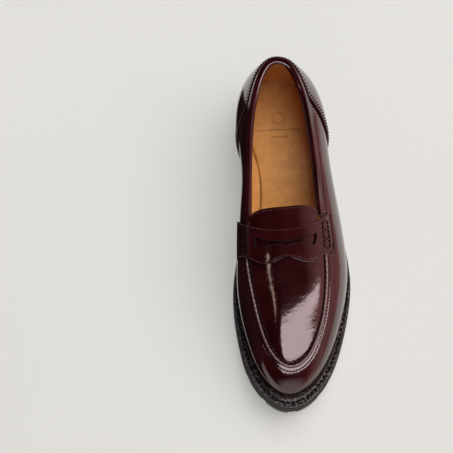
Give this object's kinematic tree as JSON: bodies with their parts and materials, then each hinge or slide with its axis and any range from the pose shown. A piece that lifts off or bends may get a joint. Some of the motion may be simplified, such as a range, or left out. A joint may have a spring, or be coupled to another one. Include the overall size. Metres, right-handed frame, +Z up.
{
  "type": "penny loafer",
  "caption": "Low slip-on leather shoe with an apron toe, a slotted saddle strap, a lugged rubber sole and a low heel.",
  "frame": {"origin": "middle of the footprint's box, on the ground", "axes": "-Y from heel to toe, +X to the outer side of the foot, +Z up"},
  "size_m": [0.104, 0.3028, 0.0963],
  "materials": {
    "burgundy_leather": "polished oxblood calf",
    "tan_leather": "smooth tan lining calf",
    "natural_leather": "undyed vegetable tanned",
    "welt_leather": "dark brown, waxed edge",
    "black_rubber": "matt black",
    "dark_thread": "waxed",
    "pale_thread": "waxed linen",
    "cork": "cork granules in paste",
    "steel": "bright spring steel",
    "leatherboard": "pressed fibre board",
    "foam": "open-cell foam"
  },
  "bodies": {
    "shoe": {"outsole": "black_rubber", "heel_lift": "black_rubber", "heel_block": "black_rubber", "heel_nail_1": "steel", "heel_nail_2": "steel", "heel_nail_3": "steel", "heel_nail_4": "steel", "heel_nail_5": "steel", "midsole": "black_rubber", "welt": "welt_leather", "heel_seat_rand": "welt_leather", "welt_stitching": "dark_thread", "insole": "natural_leather", "heel_pad": "foam", "sock_lining": "tan_leather", "insole_rib": "natural_leather", "inseam_thread": "pale_thread", "cork_filler": "cork", "shank": "steel", "skirt": "burgundy_leather", "heel_stiffener": "leatherboard", "toe_puff": "leatherboard", "quarter_lining": "tan_leather", "vamp_lining": "natural_leather", "topline_binding": "burgundy_leather", "topline_stitching_lateral": "dark_thread", "topline_stitching_medial": "dark_thread", "heel_counter": "burgundy_leather", "counter_stitching": "dark_thread", "apron": "burgundy_leather", "apron_seam_thread": "dark_thread", "skirt_stitching": "dark_thread", "saddle_strap": "burgundy_leather", "strap_backing": "burgundy_leather", "strap_edge_stitching": "dark_thread", "strap_ladder_lateral": "dark_thread", "strap_ladder_medial": "dark_thread"},
    "tongue": {"tongue": "burgundy_leather", "tongue_lining": "tan_leather", "tongue_stitching": "dark_thread"}
  },
  "joints": [
    {"name": "tongue_lift", "type": "hinge", "parent": "shoe", "child": "tongue", "pos_m": [-0.0065, 0.0004, 0.08], "axis": [1, 0, 0], "range_deg": [0, 20], "stiffness_Nm_per_rad": 0.02}
  ]
}
